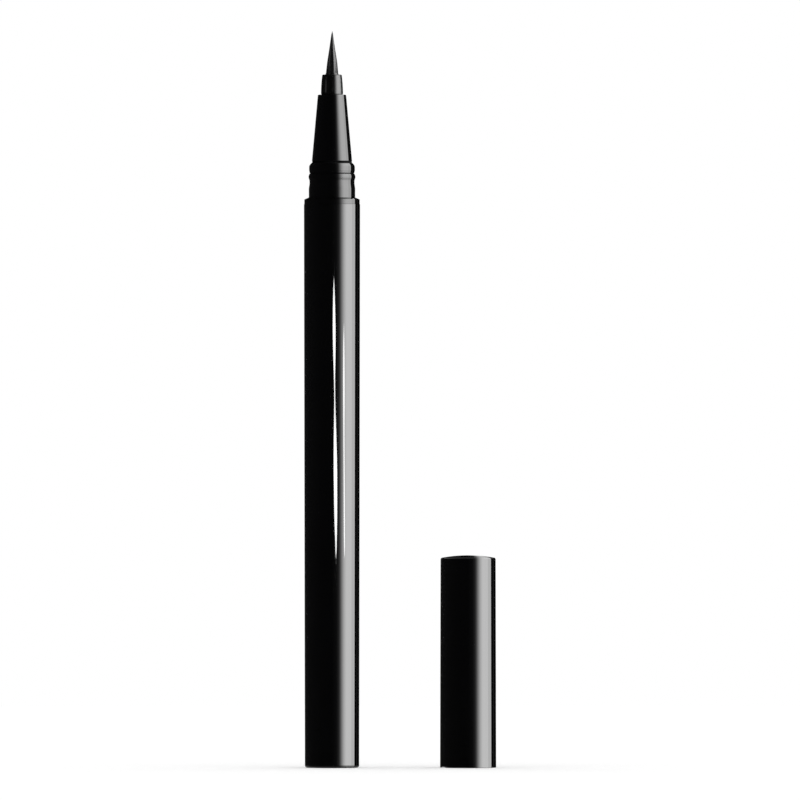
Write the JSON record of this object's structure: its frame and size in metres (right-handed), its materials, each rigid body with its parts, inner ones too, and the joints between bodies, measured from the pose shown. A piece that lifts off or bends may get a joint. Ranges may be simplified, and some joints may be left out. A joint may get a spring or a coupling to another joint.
{
  "type": "liquid eyeliner pen",
  "caption": "Brush-tip liquid eyeliner pen standing on its tail, with a cone nose, snap-ring neck and inner ink feed, and its cap standing beside it on its open rim.",
  "frame": {"origin": "centre of the pen's flat tail face, on which the pen stands", "axes": "+Z along the pen's axis from its tail to the brush tip; +X from the pen to the cap that stands beside it; the picture looks along +Y"},
  "size_m": [0.0345, 0.01, 0.1326],
  "materials": {
    "black_gloss": "high gloss, jet black",
    "black_satin": "satin, jet black",
    "black_matte": "matte black",
    "natural_plastic": "milky, unpigmented",
    "steel": "polished",
    "fibre": "bonded fibre",
    "brush_fibre": "satin black nylon fibre"
  },
  "bodies": {
    "pen": {"barrel": "black_gloss", "tail_plug": "black_gloss", "ink_tank": "natural_plastic", "tank_plug": "natural_plastic", "collector": "black_matte", "relay_core": "fibre", "wick_guide": "natural_plastic", "feed_pipe": "steel", "nose": "black_gloss", "tip_ferrule": "black_satin", "brush_root": "brush_fibre", "brush_bristles": "brush_fibre"},
    "cap": {"cap_shell": "black_gloss", "inner_cap": "black_matte"},
    "mixing_ball": {"mixing_ball": "steel"}
  },
  "joints": [
    {"name": "cap_lift", "type": "slide", "parent": "pen", "child": "cap", "axis": [0, 0, 1], "range_m": [0, 0.14]},
    {"name": "ball_travel", "type": "slide", "parent": "pen", "child": "mixing_ball", "axis": [0, 0, 1], "range_m": [0, 0.0428]}
  ]
}
